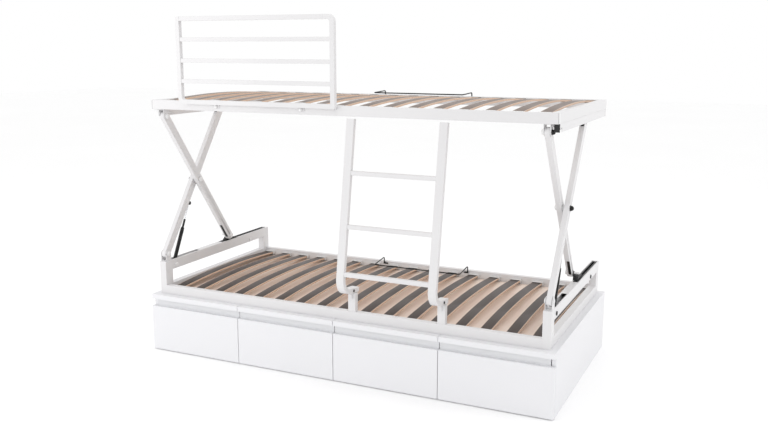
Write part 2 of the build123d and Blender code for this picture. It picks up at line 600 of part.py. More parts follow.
# ------------------------------------------------------- upper steel frame
with BuildPart() as upper_side_rails:
    for s in (-1, 1):
        with BuildSketch(Plane.YZ.offset(-HALF_L + 2)):
            with Locations((s * (HALF_W - SIDE_T / 2), (UP_BOT + UP_TOP) / 2)):
                Rectangle(SIDE_T, UP_TOP - UP_BOT)
                Rectangle(SIDE_T - 2 * WALL, UP_TOP - UP_BOT - 2 * WALL, mode=Mode.SUBTRACT)
        extrude(amount=FRAME_L - 4)

with BuildPart() as upper_rail_caps:
    for s in (-1, 1):
        for t in (-1, 1):
            with BuildSketch(Plane.YZ.offset(HALF_L - 2 if s > 0 else -HALF_L)):
                with Locations((t * (HALF_W - SIDE_T / 2), (UP_BOT + UP_TOP) / 2)):
                    Rectangle(SIDE_T, UP_TOP - UP_BOT)
            extrude(amount=2)

with BuildPart() as upper_end_rails:
    for s in (-1, 1):
        with BuildSketch(Plane.XZ.offset(-IN_Y)):
            with Locations((s * (HALF_L - END_T / 2), (UP_BOT + UP_TOP) / 2)):
                Rectangle(END_T, UP_TOP - UP_BOT)
                Rectangle(END_T - 2 * WALL, UP_TOP - UP_BOT - 2 * WALL, mode=Mode.SUBTRACT)
        extrude(amount=2 * IN_Y)

CH_X0, CH_X1 = 919.0, 950.0
CH_Z0 = 1124.0
with BuildPart() as end_channels:
    for s in (-1, 1):
        xc = s * (CH_X0 + CH_X1) / 2
        with BuildSketch(Plane.XZ.offset(430)):
            with Locations((xc, (CH_Z0 + UP_BOT) / 2)):
                Rectangle(CH_X1 - CH_X0, UP_BOT - CH_Z0)
            with Locations((xc, (CH_Z0 + UP_BOT) / 2 - 3.2)):
                Rectangle(CH_X1 - CH_X0 - 2 * WALL, UP_BOT - CH_Z0, mode=Mode.SUBTRACT)
        extrude(amount=-856)
        with BuildSketch(Plane.XY.offset(CH_Z0 - 1)):
            with Locations((xc, -415)):
                Rectangle(CH_X1 - CH_X0 + 4, 36)
        extrude(amount=18, mode=Mode.SUBTRACT)

with BuildPart() as channel_plugs:
    for s in (-1, 1):
        xc = s * (CH_X0 + CH_X1) / 2
        with BuildSketch(Plane.XZ.offset(430)):
            with Locations((s * 939.0, (CH_Z0 + UP_BOT) / 2 + 0.5)):
                Rectangle(22, UP_BOT - CH_Z0 - 1)
        extrude(amount=3)
        with BuildSketch(Plane.XZ.offset(-429)):
            with Locations((xc, (CH_Z0 + UP_BOT) / 2)):
                Rectangle(CH_X1 - CH_X0, UP_BOT - CH_Z0)
        extrude(amount=3)

BR_IN = XA - ARM_W / 2 - 3.5
BR_OUT = XA + ARM_W / 2 + 0.5
with BuildPart() as upper_pivot_brackets:
    for s in (-1, 1):
        for x0 in (BR_IN, BR_OUT):
            with BuildSketch(Plane.YZ.offset(x0 if s > 0 else -x0 - 3)):
                with Locations((TY - 2, (TZ + UP_BOT) / 2)):
                    Rectangle(40, UP_BOT - TZ)
                with Locations((TY, TZ)):
                    Circle(18)
                    Circle(6.1, mode=Mode.SUBTRACT)
            extrude(amount=3)
        xm = s * (BR_IN + BR_OUT + 3) / 2
        with BuildSketch(Plane.XY.offset(UP_BOT - 3)):
            with Locations((xm, TY - 2)):
                Rectangle(BR_OUT + 3 - BR_IN, 40)
        extrude(amount=3)

with BuildPart() as upper_pivot_bolts:
    for s in (-1, 1):
        with BuildSketch(Plane.YZ.offset(BR_IN if s > 0 else -BR_OUT - 3)):
            with Locations((TY, TZ)):
                Circle(6)
        extrude(amount=BR_OUT + 3 - BR_IN)
        with BuildSketch(Plane.YZ.offset(BR_OUT + 3 if s > 0 else -BR_OUT - 3 - 9)):
            with Locations((TY, TZ)):
                RegularPolygon(10, 6)
        extrude(amount=9)

with BuildPart() as upper_pivot_knobs:
    for s in (-1, 1):
        with BuildSketch(Plane(origin=(s * BR_IN, TY, TZ), x_dir=(0, 1, 0), z_dir=(-s, 0, 0))):
            Circle(12.5)
        extrude(amount=13)

with BuildPart() as upper_laths:
    for x in LATH_X:
        with BuildSketch(Plane.YZ.offset(x - LATH_W / 2)):
            with BuildLine():
                ThreePointArc((-IN_Y + 2, UP_LATH_END), (0, UP_LATH_END + LATH_CROWN), (IN_Y - 2, UP_LATH_END))
                Line((IN_Y - 2, UP_LATH_END), (IN_Y - 2, UP_LATH_END - LATH_T))
                ThreePointArc((IN_Y - 2, UP_LATH_END - LATH_T), (0, UP_LATH_END + LATH_CROWN - LATH_T), (-IN_Y + 2, UP_LATH_END - LATH_T))
                Line((-IN_Y + 2, UP_LATH_END - LATH_T), (-IN_Y + 2, UP_LATH_END))
            make_face()
        extrude(amount=LATH_W)

with BuildPart() as upper_lath_sockets:
    for x in LATH_X:
        for s in (-1, 1):
            with BuildSketch(Plane.XZ.offset(IN_Y if s < 0 else -IN_Y + 22)):
                with Locations((x, UP_LATH_END - 3)):
                    Rectangle(LATH_W + 4, 16)
                with Locations((x, UP_LATH_END - 2.9)):
                    Rectangle(LATH_W + 0.4, 11.4, mode=Mode.SUBTRACT)
            extrude(amount=-22)

with BuildPart() as upper_mattress_stop:
    with BuildLine():
        up_wire = Polyline((STOP_X0, 437, UP_TOP), (STOP_X0, 433, UP_TOP + 18), (STOP_X0, 300, UP_TOP + 14),
                 (STOP_X1, 300, UP_TOP + 14), (STOP_X1, 433, UP_TOP + 18), (STOP_X1, 437, UP_TOP))
    with BuildSketch(Plane(origin=up_wire @ 0, z_dir=up_wire % 0)):
        Circle(3)
    sweep(transition=Transition.ROUND)

# guard rail in front of the upper frame
GYC = (GUARD_Y0 + GUARD_Y1) / 2
GXL, GXR = GUARD_X0 + GUARD_T / 2, GUARD_X1 - GUARD_T / 2
with BuildPart() as guard_uprights:
    # left upright, rounded into the bottom bar
    with BuildLine(Plane.XZ.offset(-GYC)):
        left_up = FilletPolyline((GXL, GUARD_Z[4] + 9), (GXL, GUARD_Z[0]), (GXL + 40, GUARD_Z[0]), radius=22)
    with BuildSketch(Plane(origin=left_up @ 0, z_dir=left_up % 0, x_dir=(1, 0, 0))):
        Rectangle(GUARD_T, GUARD_T)
        Rectangle(GUARD_T - 3, GUARD_T - 3, mode=Mode.SUBTRACT)
    sweep()
    # right upright, rounded into the top bar
    with BuildLine(Plane.XZ.offset(-GYC)):
        right_up = FilletPolyline((GXR, GUARD_Z[0] - 10), (GXR, GUARD_Z[4]), (GXR - 40, GUARD_Z[4]), radius=22)
    with BuildSketch(Plane(origin=right_up @ 0, z_dir=right_up % 0, x_dir=(1, 0, 0))):
        Rectangle(GUARD_T, GUARD_T)
        Rectangle(GUARD_T - 3, GUARD_T - 3, mode=Mode.SUBTRACT)
    sweep()

with BuildPart() as guard_bars:
    for i, z in enumerate(GUARD_Z):
        x0 = GXL + 40 if i == 0 else GXL + GUARD_T / 2
        x1 = GXR - 40 if i == 4 else GXR - GUARD_T / 2
        h = 20.0 if i in (0, 4) else 18.0
        with BuildSketch(Plane.YZ.offset(x0)):
            with Locations((GYC, z)):
                Rectangle(h, h)
                Rectangle(h - 3, h - 3, mode=Mode.SUBTRACT)
        extrude(amount=x1 - x0)

with BuildPart() as guard_hooks:
    for x in HOOK_X:
        with BuildSketch(Plane.YZ.offset(x - 14)):
            with Locations((-435.5, UP_TOP + 1.25)):
                Rectangle(29, 2.5)
            with Locations((-422.25, UP_TOP - 5.75)):
                Rectangle(2.5, 11.5)
        extrude(amount=28)

with BuildPart() as guard_clamps:
    for x in BOLT_X:
        with BuildSketch(Plane.XZ.offset(450)):
            with Locations((x, 1178)):
                RectangleRounded(26, 16, 5)
        extrude(amount=3)
        with BuildSketch(Plane.XZ.offset(453)):
            with Locations((x, 1178)):
                Circle(5.5)
        extrude(amount=4)

# ------------------------------------------------------------------ ladder
with BuildPart() as ladder_stiles:
    for x in LADDER_X:
        with BuildLine(Plane.YZ.offset(x)):
            stile_path = FilletPolyline(LADDER_TOP, LADDER_BEND, LADDER_TIP, radius=LADDER_R)
        with BuildSketch(Plane(origin=stile_path @ 0, z_dir=stile_path % 0, x_dir=(1, 0, 0))):
            Rectangle(LADDER_W, LADDER_D)
            Rectangle(LADDER_W - 2 * WALL, LADDER_D - 2 * WALL, mode=Mode.SUBTRACT)
        sweep()
        # slot under the foot for the hinge tongue
        with BuildSketch(Plane.XY.offset(385)):
            with Locations((x, -452)):
                Rectangle(12, 96)
        extrude(amount=HINGE_Z - 385, mode=Mode.SUBTRACT)
        with BuildSketch(Plane.YZ.offset(x - LADDER_W / 2 - 1)):
            with Locations((HINGE_Y, HINGE_Z)):
                Circle(3.5)
        extrude(amount=LADDER_W + 2, mode=Mode.SUBTRACT)

LEAN = (LADDER_BEND[0] - LADDER_TOP[0]) / (LADDER_BEND[1] - LADDER_TOP[1])
with BuildPart() as ladder_rungs:
    for z in RUNG_Z:
        y = LADDER_TOP[0] + (z - LADDER_TOP[1]) * LEAN
        with BuildSketch(Plane.YZ.offset(LADDER_X[0] + LADDER_W / 2)):
            with Locations((y, z)):
                Rectangle(18, 18)
                Rectangle(15, 15, mode=Mode.SUBTRACT)
        extrude(amount=LADDER_X[1] - LADDER_X[0] - LADDER_W)

with BuildPart() as ladder_pins:
    for x in LADDER_X:
        with BuildSketch(Plane.YZ.offset(x - LADDER_W / 2 - 1.5)):
            with Locations((HINGE_Y, HINGE_Z)):
                Circle(3.5)
        extrude(amount=LADDER_W + 3)
        with BuildSketch(Plane.YZ.offset(x + LADDER_W / 2)):
            with Locations((HINGE_Y, HINGE_Z)):
                Circle(6)
        extrude(amount=2)

# ------------------------------------------------------------------ export
PIECES = {
    "cabinet_side_panels": cabinet_side_panels, "cabinet_back_panel": cabinet_back_panel,
    "cabinet_dividers": cabinet_dividers, "cabinet_top_panels": cabinet_top_panels,
    "drawer_runner_rails": drawer_runner_rails,
    "drawer_1_front": drawer_1_front, "drawer_2_front": drawer_2_front,
    "drawer_3_front": drawer_3_front, "drawer_4_front": drawer_4_front,
    "drawer_1_box": drawer_1_box, "drawer_2_box": drawer_2_box,
    "drawer_3_box": drawer_3_box, "drawer_4_box": drawer_4_box,
    "lower_side_rails": lower_side_rails, "lower_end_rails": lower_end_rails,
    "front_corner_posts": front_corner_posts, "rear_corner_posts": rear_corner_posts,
    "track_rails": track_rails, "track_liners": track_liners,
    "lower_pivot_clevises": lower_pivot_clevises, "lower_pivot_bolts": lower_pivot_bolts,
    "lower_pivot_knobs": lower_pivot_knobs, "strut_pins": strut_pins,
    "frame_bolt_caps": frame_bolt_caps,
    "lower_laths": lower_laths, "lower_lath_sockets": lower_lath_sockets,
    "lower_deck_panel": lower_deck_panel, "lower_mattress_stop": lower_mattress_stop,
    "ladder_posts": ladder_posts,
    "outer_arms": outer_arms, "inner_arms": inner_arms, "foot_straps": foot_straps,
    "foot_axles": foot_axles, "track_shoes": track_shoes,
    "outer_arm_bolts": outer_arm_bolts, "mid_pivot_knobs": mid_pivot_knobs,
    "strut_brackets": strut_brackets, "strut_rods": strut_rods, "strut_cylinders": strut_cylinders,
    "upper_rollers": upper_rollers,
    "upper_side_rails": upper_side_rails, "upper_rail_caps": upper_rail_caps,
    "upper_end_rails": upper_end_rails, "end_channels": end_channels, "channel_plugs": channel_plugs,
    "upper_pivot_brackets": upper_pivot_brackets, "upper_pivot_bolts": upper_pivot_bolts,
    "upper_pivot_knobs": upper_pivot_knobs,
    "upper_laths": upper_laths, "upper_lath_sockets": upper_lath_sockets,
    "upper_mattress_stop": upper_mattress_stop,
    "guard_uprights": guard_uprights, "guard_bars": guard_bars, "guard_hooks": guard_hooks,
    "guard_clamps": guard_clamps,
    "ladder_stiles": ladder_stiles, "ladder_rungs": ladder_rungs, "ladder_pins": ladder_pins,
}
for label, piece in PIECES.items():
    piece.part.label = label
    export_step(piece.part, "parts/" + label + ".step")
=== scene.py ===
import json
import math

import bmesh
import bpy
from mathutils import Matrix, Vector


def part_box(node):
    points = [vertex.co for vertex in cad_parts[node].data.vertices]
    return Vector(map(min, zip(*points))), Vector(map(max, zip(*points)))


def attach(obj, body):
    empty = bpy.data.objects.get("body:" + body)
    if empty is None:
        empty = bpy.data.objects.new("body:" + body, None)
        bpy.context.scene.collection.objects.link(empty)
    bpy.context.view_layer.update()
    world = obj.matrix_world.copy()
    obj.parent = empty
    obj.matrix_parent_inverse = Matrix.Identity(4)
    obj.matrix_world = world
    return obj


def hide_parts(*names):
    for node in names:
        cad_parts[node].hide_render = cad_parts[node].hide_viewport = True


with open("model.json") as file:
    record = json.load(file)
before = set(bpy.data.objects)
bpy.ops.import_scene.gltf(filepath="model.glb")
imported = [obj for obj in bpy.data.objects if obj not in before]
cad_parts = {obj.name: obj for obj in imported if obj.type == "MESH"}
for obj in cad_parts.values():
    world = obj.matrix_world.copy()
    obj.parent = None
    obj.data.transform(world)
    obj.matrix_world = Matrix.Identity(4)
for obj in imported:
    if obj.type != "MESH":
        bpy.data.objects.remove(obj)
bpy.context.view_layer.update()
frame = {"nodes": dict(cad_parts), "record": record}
NODES = frame["nodes"]


# ------------------------------------------------------------------ helpers
def mid(node):
    lo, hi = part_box(node)
    return (lo + hi) / 2


def parts_of(node):
    """Boxes of the separate solids of a CAD node, as (low, high), welded by position."""
    me = NODES[node].data
    key = {}
    rep = []
    for v in me.vertices:
        k = (round(v.co.x, 5), round(v.co.y, 5), round(v.co.z, 5))
        rep.append(key.setdefault(k, len(key)))
    parent = list(range(len(key)))

    def find(a):
        while parent[a] != a:
            parent[a] = parent[parent[a]]
            a = parent[a]
        return a

    for p in me.polygons:
        vs = [rep[i] for i in p.vertices]
        for b in vs[1:]:
            ra, rb = find(vs[0]), find(b)
            if ra != rb:
                parent[rb] = ra
    out = {}
    for i, v in enumerate(me.vertices):
        r = find(rep[i])
        if r not in out:
            out[r] = [v.co.copy(), v.co.copy()]
        lo, hi = out[r]
        for k in range(3):
            lo[k] = min(lo[k], v.co[k])
            hi[k] = max(hi[k], v.co[k])
    return sorted(out.values(), key=lambda b: (round(b[0].x, 4), round(b[0].y, 4), round(b[0].z, 4)))


def add_mesh(name, verts, faces, mat, body, smooth=True, bevel=0.0):
    me = bpy.data.meshes.new(name)
    me.from_pydata([tuple(v) for v in verts], [], faces)
    me.validate()
    bm = bmesh.new()
    bm.from_mesh(me)
    bmesh.ops.remove_doubles(bm, verts=bm.verts, dist=1e-6)
    bmesh.ops.recalc_face_normals(bm, faces=bm.faces)
    bm.to_mesh(me)
    bm.free()
    o = bpy.data.objects.new(name, me)
    bpy.context.scene.collection.objects.link(o)
    o.data.materials.append(mat)
    if smooth:
        for p in me.polygons:
            p.use_smooth = True
        me.set_sharp_from_angle(angle=math.radians(38))
    if bevel:
        b = o.modifiers.new("bevel", "BEVEL")
        b.width = bevel
        b.segments = 3
        b.limit_method = "ANGLE"
        b.angle_limit = math.radians(40)
        b.harden_normals = True
    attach(o, body)
    return o


def revolve(profile, origin, axis, steps=40):
    """Verts and faces of a profile [(distance along axis, radius), ...] turned about an axis."""
    axis = Vector(axis).normalized()
    up = Vector((0, 0, 1)) if abs(axis.z) < 0.9 else Vector((0, 1, 0))
    e1 = axis.cross(up).normalized()
    e2 = axis.cross(e1).normalized()
    verts, faces, rings = [], [], []
    for d, r in profile:
        if r < 1e-7:
            rings.append([len(verts)])
            verts.append(Vector(origin) + axis * d)
        else:
            ring = []
            for i in range(steps):
                a = 2 * math.pi * i / steps
                ring.append(len(verts))
                verts.append(Vector(origin) + axis * d + (e1 * math.cos(a) + e2 * math.sin(a)) * r)
            rings.append(ring)
    for a, b in zip(rings, rings[1:]):
        if len(a) == 1 and len(b) == 1:
            continue
        for i in range(steps):
            j = (i + 1) % steps
            if len(a) == 1:
                faces.append((a[0], b[i], b[j]))
            elif len(b) == 1:
                faces.append((a[i], a[j], b[0]))
            else:
                faces.append((a[i], a[j], b[j], b[i]))
    return verts, faces


def merge(*pairs):
    verts, faces = [], []
    for v, f in pairs:
        n = len(verts)
        verts += list(v)
        faces += [tuple(i + n for i in q) for q in f]
    return verts, faces


def prism(outline, x0, x1, axis="x"):
    """A closed prism: outline of (a, b) points swept along one row axis."""
    n = len(outline)

    def p(a, b, c):
        return {"x": (c, a, b), "y": (a, c, b), "z": (a, b, c)}[axis]

    verts = [p(a, b, x0) for a, b in outline] + [p(a, b, x1) for a, b in outline]
    faces = [tuple(range(n)), tuple(range(2 * n - 1, n - 1, -1))]
    for i in range(n):
        j = (i + 1) % n
        faces.append((i, i + n, j + n, j))
    return verts, faces


def box_mesh(lo, hi):
    return prism([(lo[0], lo[1]), (hi[0], lo[1]), (hi[0], hi[1]), (lo[0], hi[1])], lo[2], hi[2], "z")


def arc_path(points, radius, steps=8):
    """Points of a polyline whose corners are turned into arcs."""
    pts = [Vector(p) for p in points]
    out = [pts[0]]
    for a, b, c in zip(pts, pts[1:], pts[2:]):
        u, v = (a - b).normalized(), (c - b).normalized()
        ang = u.angle(v)
        t = min(radius / math.tan(ang / 2), 0.45 * (a - b).length, 0.45 * (c - b).length)
        r = t * math.tan(ang / 2)
        centre = b + (u + v).normalized() * (r / math.sin(ang / 2))
        p0, p1 = b + u * t - centre, b + v * t - centre
        full = p0.angle(p1)
        for i in range(steps + 1):
            k = i / steps
            out.append(centre + (p0 * math.sin((1 - k) * full) + p1 * math.sin(k * full)) / math.sin(full))
    out.append(pts[-1])
    return out


def tube(points, radius, steps=14, caps=True):
    """A round tube along points, with parallel-transported rings."""
    pts = [Vector(p) for p in points]
    tang = []
    for i in range(len(pts)):
        a = pts[max(i - 1, 0)]
        b = pts[min(i + 1, len(pts) - 1)]
        tang.append((b - a).normalized())
    up = Vector((0, 0, 1)) if abs(tang[0].z) < 0.9 else Vector((1, 0, 0))
    n = tang[0].cross(up).normalized()
    verts, faces = [], []
    for i, (p, t) in enumerate(zip(pts, tang)):
        n = (n - t * n.dot(t)).normalized()
        b = t.cross(n)
        for k in range(steps):
            a = 2 * math.pi * k / steps
            verts.append(p + (n * math.cos(a) + b * math.sin(a)) * radius)
    for i in range(len(pts) - 1):
        for k in range(steps):
            j = (k + 1) % steps
            faces.append((i * steps + k, i * steps + j, (i + 1) * steps + j, (i + 1) * steps + k))
    if caps:
        faces.append(tuple(range(steps - 1, -1, -1)))
        faces.append(tuple((len(pts) - 1) * steps + k for k in range(steps)))
    return verts, faces


# ---------------------------------------------------------------- materials
class M:
    """A small node-tree builder round one Principled shader."""

    def __init__(self, name, rough=0.5, metal=0.0, spec=0.5, coat=0.0, coat_rough=0.1):
        self.mat = bpy.data.materials.new(name)
        self.mat.use_nodes = True
        nt = self.mat.node_tree
        nt.nodes.clear()
        self.nt = nt
        self.out = nt.nodes.new("ShaderNodeOutputMaterial")
        self.p = nt.nodes.new("ShaderNodeBsdfPrincipled")
        nt.links.new(self.p.outputs[0], self.out.inputs[0])
        self.p.inputs["Roughness"].default_value = rough
        self.p.inputs["Metallic"].default_value = metal
        self.p.inputs["Specular IOR Level"].default_value = spec
        self.p.inputs["Coat Weight"].default_value = coat
        self.p.inputs["Coat Roughness"].default_value = coat_rough
        self.tc = nt.nodes.new("ShaderNodeTexCoord")

    def node(self, kind, **inputs):
        n = self.nt.nodes.new(kind)
        for k, v in inputs.items():
            if k in n.inputs:
                if hasattr(v, "is_output"):
                    self.nt.links.new(v, n.inputs[k])
                else:
                    n.inputs[k].default_value = v
            else:
                setattr(n, k, v)
        return n

    def link(self, a, b):
        self.nt.links.new(a, b)

    def coords(self, scale=(1, 1, 1)):
        m = self.nt.nodes.new("ShaderNodeMapping")
        m.inputs["Scale"].default_value = scale
        self.link(self.tc.outputs["Object"], m.inputs["Vector"])
        return m.outputs[0]

    def noise(self, scale, detail=2.0, rough=0.5, coords=None, dist=0.0):
        n = self.nt.nodes.new("ShaderNodeTexNoise")
        n.inputs["Scale"].default_value = scale
        n.inputs["Detail"].default_value = detail
        n.inputs["Roughness"].default_value = rough
        n.inputs["Distortion"].default_value = dist
        self.link(coords or self.tc.outputs["Object"], n.inputs["Vector"])
        return n.outputs["Fac"]

    def ramp(self, fac, *stops):
        r = self.nt.nodes.new("ShaderNodeValToRGB")
        el = r.color_ramp.elements
        while len(el) < len(stops):
            el.new(0.5)
        for e, (pos, col) in zip(el, stops):
            e.position = pos
            e.color = (*col, 1) if len(col) == 3 else col
        self.link(fac, r.inputs[0])
        return r.outputs[0]

    def mapr(self, fac, a, b, lo=0.0, hi=1.0):
        m = self.nt.nodes.new("ShaderNodeMapRange")
        m.inputs["From Min"].default_value = lo
        m.inputs["From Max"].default_value = hi
        m.inputs["To Min"].default_value = a
        m.inputs["To Max"].default_value = b
        self.link(fac, m.inputs["Value"])
        return m.outputs[0]

    def mix(self, fac, a, b, mode="MIX"):
        m = self.nt.nodes.new("ShaderNodeMix")
        m.data_type = "RGBA"
        m.blend_type = mode
        for sock, v in ((m.inputs[0], fac), (m.inputs[6], a), (m.inputs[7], b)):
            if hasattr(v, "is_output"):
                self.link(v, sock)
            elif isinstance(v, (int, float)):
                sock.default_value = v
            else:
                sock.default_value = (*v, 1)
        return m.outputs[2]

    def math(self, op, a, b=None, clamp=False):
        m = self.nt.nodes.new("ShaderNodeMath")
        m.operation = op
        m.use_clamp = clamp
        for sock, v in ((m.inputs[0], a), (m.inputs[1], b)):
            if v is None:
                continue
            if hasattr(v, "is_output"):
                self.link(v, sock)
            else:
                sock.default_value = v
        return m.outputs[0]

    def split(self, vec):
        s = self.nt.nodes.new("ShaderNodeSeparateXYZ")
        self.link(vec, s.inputs[0])
        return s.outputs

    def color(self, sock):
        self.link(sock, self.p.inputs["Base Color"])

    def rough(self, sock):
        self.link(sock, self.p.inputs["Roughness"])

    def bump(self, height, strength=0.1, dist=0.001, normal=None):
        b = self.nt.nodes.new("ShaderNodeBump")
        b.inputs["Strength"].default_value = strength
        b.inputs["Distance"].default_value = dist
        self.link(height, b.inputs["Height"])
        if normal is not None:
            self.link(normal, b.inputs["Normal"])
        self.link(b.outputs[0], self.p.inputs["Normal"])
        return b.outputs[0]


def powder_white(name, base=(0.725, 0.718, 0.724), dark=(0.700, 0.692, 0.700)):
    m = M(name, rough=0.36, spec=0.5, coat=0.12, coat_rough=0.25)
    broad = m.noise(3.0, 3.0, 0.5)
    m.color(m.ramp(broad, (0.3, dark), (0.7, base)))
    peel = m.noise(420.0, 2.0, 0.6)
    fine = m.noise(1500.0, 1.0, 0.5)
    m.rough(m.mapr(broad, 0.32, 0.42))
    b = m.bump(peel, 0.10, 0.0006)
    m.bump(fine, 0.05, 0.0003, b)
    return m.mat


def melamine(name, base=(0.775, 0.775, 0.795), dark=(0.755, 0.755, 0.775)):
    m = M(name, rough=0.42, spec=0.45)
    broad = m.noise(1.6, 4.0, 0.55)
    m.color(m.ramp(broad, (0.25, dark), (0.75, base)))
    pores = m.noise(700.0, 3.0, 0.65)
    m.rough(m.mapr(m.noise(160.0, 3.0, 0.6), 0.36, 0.50))
    m.bump(pores, 0.12, 0.0004)
    return m.mat


def plastic(name, base, dark, rough=0.4, grain=900.0):
    m = M(name, rough=rough, spec=0.5)
    broad = m.noise(14.0, 3.0, 0.5)
    m.color(m.ramp(broad, (0.3, dark), (0.7, base)))
    g = m.noise(grain, 3.0, 0.6)
    m.rough(m.mapr(g, rough - 0.06, rough + 0.10))
    m.bump(g, 0.16, 0.0004)
    return m.mat


def black_steel(name):
    m = M(name, rough=0.3, spec=0.32, coat=0.0, coat_rough=0.15)
    broad = m.noise(20.0, 3.0, 0.5)
    m.color(m.ramp(broad, (0.3, (0.004, 0.004, 0.004)), (0.7, (0.009, 0.009, 0.010))))
    m.rough(m.mapr(m.noise(300.0, 3.0, 0.6), 0.22, 0.38))
    m.bump(m.noise(900.0, 2.0, 0.5), 0.08, 0.0003)
    return m.mat


def metal(name, base, dark, rough, streak=(30, 600, 600)):
    m = M(name, rough=rough, metal=1.0)
    n = m.noise(1.0, 4.0, 0.6, m.coords(streak))
    m.color(m.ramp(n, (0.3, dark), (0.7, base)))
    m.rough(m.mapr(n, rough - 0.05, rough + 0.10))
    m.bump(n, 0.05, 0.0002)
    return m.mat


def lath_material(name, end_z, crown, half, top=((0.040, 0.026, 0.020), (0.060, 0.041, 0.033)), pitch=0.1105, coated_half=0.0225):
    """Bent lath: dark coated top, ply layers along the edges, natural beech below."""
    m = M(name, rough=0.46, spec=0.30)
    n = m.split(m.tc.outputs["Normal"])
    xyz = m.split(m.tc.outputs["Object"])
    up = m.mapr(n[2], 0.0, 1.0, 0.70, 0.80)
    grain = m.noise(1.0, 5.0, 0.6, m.coords((260, 6, 260)), 0.6)
    pores = m.noise(1.0, 3.0, 0.6, m.coords((1500, 40, 1500)))
    # colour of the coated top face; the lighter top colours given for the upper laths are a painted sheen, not the
    # coat's own colour
    coat_and_painted_sheen = m.ramp(grain, (0.25, top[0]), (0.75, top[1]))
    beech = m.ramp(grain, (0.20, (0.58, 0.43, 0.33)), (0.50, (0.66, 0.51, 0.41)), (0.80, (0.72, 0.58, 0.48)))
    # height inside the lath's thickness: z minus the arch
    y2 = m.math("MULTIPLY", xyz[1], xyz[1])
    arch = m.math("MULTIPLY_ADD", y2, -crown / (half * half))
    arch.node.inputs[2].default_value = end_z + crown
    depth = m.math("SUBTRACT", arch, xyz[2])
    ply = m.math("MULTIPLY", depth, 1 / 0.0016)
    frac = m.math("FRACT", ply)
    line = m.mapr(m.math("ABSOLUTE", m.math("SUBTRACT", frac, 0.5)), 0.0, 1.0, 0.42, 0.5)
    edge = m.mix(line, m.mix(grain, (0.58, 0.40, 0.29), (0.68, 0.50, 0.38)), (0.42, 0.26, 0.17))
    # the coating stops short of the rounded long edges
    cell = m.math("FRACT", m.math("ADD", m.math("MULTIPLY", xyz[0], 1 / pitch), 0.5))
    off = m.math("ABSOLUTE", m.math("SUBTRACT", cell, 0.5))
    wander = m.math("MULTIPLY", m.math("SUBTRACT", m.noise(22.0, 2.0, 0.5), 0.5), 0.006)
    inside = m.mapr(m.math("ADD", off, wander), 1.0, 0.0, (coated_half - 0.0003) / pitch, (coated_half + 0.0003) / pitch)
    is_top = m.math("MULTIPLY", up, inside)
    is_edge = m.mapr(m.math("ABSOLUTE", n[0]), 0.0, 1.0, 0.65, 0.75)
    col = m.mix(is_top, beech, coat_and_painted_sheen)
    col = m.mix(is_edge, col, edge)
    m.color(col)
    m.rough(m.math("SUBTRACT", m.mapr(grain, 0.36, 0.50), m.math("MULTIPLY", is_top, 0.03)))
    m.bump(pores, 0.10, 0.0003)
    return m.mat


def plywood(name):
    m = M(name, rough=0.5, spec=0.4)
    big = m.noise(1.0, 4.0, 0.55, m.coords((2.2, 0.9, 1)), 1.2)
    grain = m.noise(1.0, 6.0, 0.62, m.coords((90, 3.5, 90)), 1.0)
    fine = m.noise(1.0, 3.0, 0.7, m.coords((900, 25, 900)))
    a = m.ramp(grain, (0.25, (0.86, 0.73, 0.64)), (0.55, (0.92, 0.81, 0.73)), (0.85, (0.95, 0.86, 0.79)))
    b = m.mix(m.mapr(big, 0.0, 0.35), a, (0.95, 0.89, 0.84), "MULTIPLY")
    m.color(m.mix(m.mapr(fine, 0.0, 0.12), b, (0.50, 0.32, 0.22)))
    m.rough(m.mapr(grain, 0.40, 0.58))
    m.bump(fine, 0.12, 0.0003)
    return m.mat


WHITE_STEEL = powder_white("white_powder_coat")
MELAMINE = melamine("white_melamine")
MELAMINE_IN = melamine("white_melamine_box", (0.74, 0.745, 0.76), (0.70, 0.705, 0.72))
WHITE_PLASTIC = plastic("white_plastic", (0.80, 0.80, 0.80), (0.76, 0.76, 0.765), 0.34)
BLACK_PLASTIC = plastic("black_plastic", (0.010, 0.010, 0.011), (0.006, 0.006, 0.007), 0.45)
BLACK_STEEL = black_steel("black_steel")
ZINC = metal("zinc_steel", (0.62, 0.63, 0.65), (0.50, 0.51, 0.54), 0.34)
CHROME = metal("chrome_rod", (0.80, 0.81, 0.83), (0.72, 0.73, 0.76), 0.12)
DECK = plywood("deck_plywood")
SOCKET = plastic("pale_plastic", (0.68, 0.67, 0.66), (0.64, 0.63, 0.62), 0.42)

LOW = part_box("lower_laths")
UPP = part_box("upper_laths")
CROWN = 0.0185
HALF = (LOW[1].y - LOW[0].y) / 2
LATH_LOW = lath_material("lath_lower", LOW[1].z - CROWN, CROWN, HALF)
# upper laths: coated tops painted lighter than the lower laths, a painted sheen standing in for the coating's grazing
# reflection of the white surroundings
LATH_UP_PAINTED_SHEEN = lath_material("lath_upper_painted_sheen", UPP[1].z - CROWN, CROWN, HALF, top=((0.140, 0.096, 0.076), (0.180, 0.130, 0.106)))

BY_SLOT = {
    "white_melamine": MELAMINE,
    "white_powder_coat": WHITE_STEEL,
    "white_plastic": WHITE_PLASTIC,
    "black_plastic": BLACK_PLASTIC,
    "black_steel": BLACK_STEEL,
    "zinc_steel": ZINC,
    "chrome_rod": CHROME,
    "deck_wood": DECK,
    "lath_wood": LATH_LOW,
}
SLOT_OF = {s["node"]: s["material_slot"] for s in frame["record"]["subparts"]}


def paint(node, mat):
    o = NODES[node]
    o.data.materials.clear()
    o.data.materials.append(mat)


for name in NODES:
    paint(name, BY_SLOT[SLOT_OF[name]])
paint("upper_laths", LATH_UP_PAINTED_SHEEN)
for n in (1, 2, 3, 4):
    paint(f"drawer_{n}_box", MELAMINE_IN)
for name in ("lower_lath_sockets", "upper_lath_sockets"):
    paint(name, SOCKET)


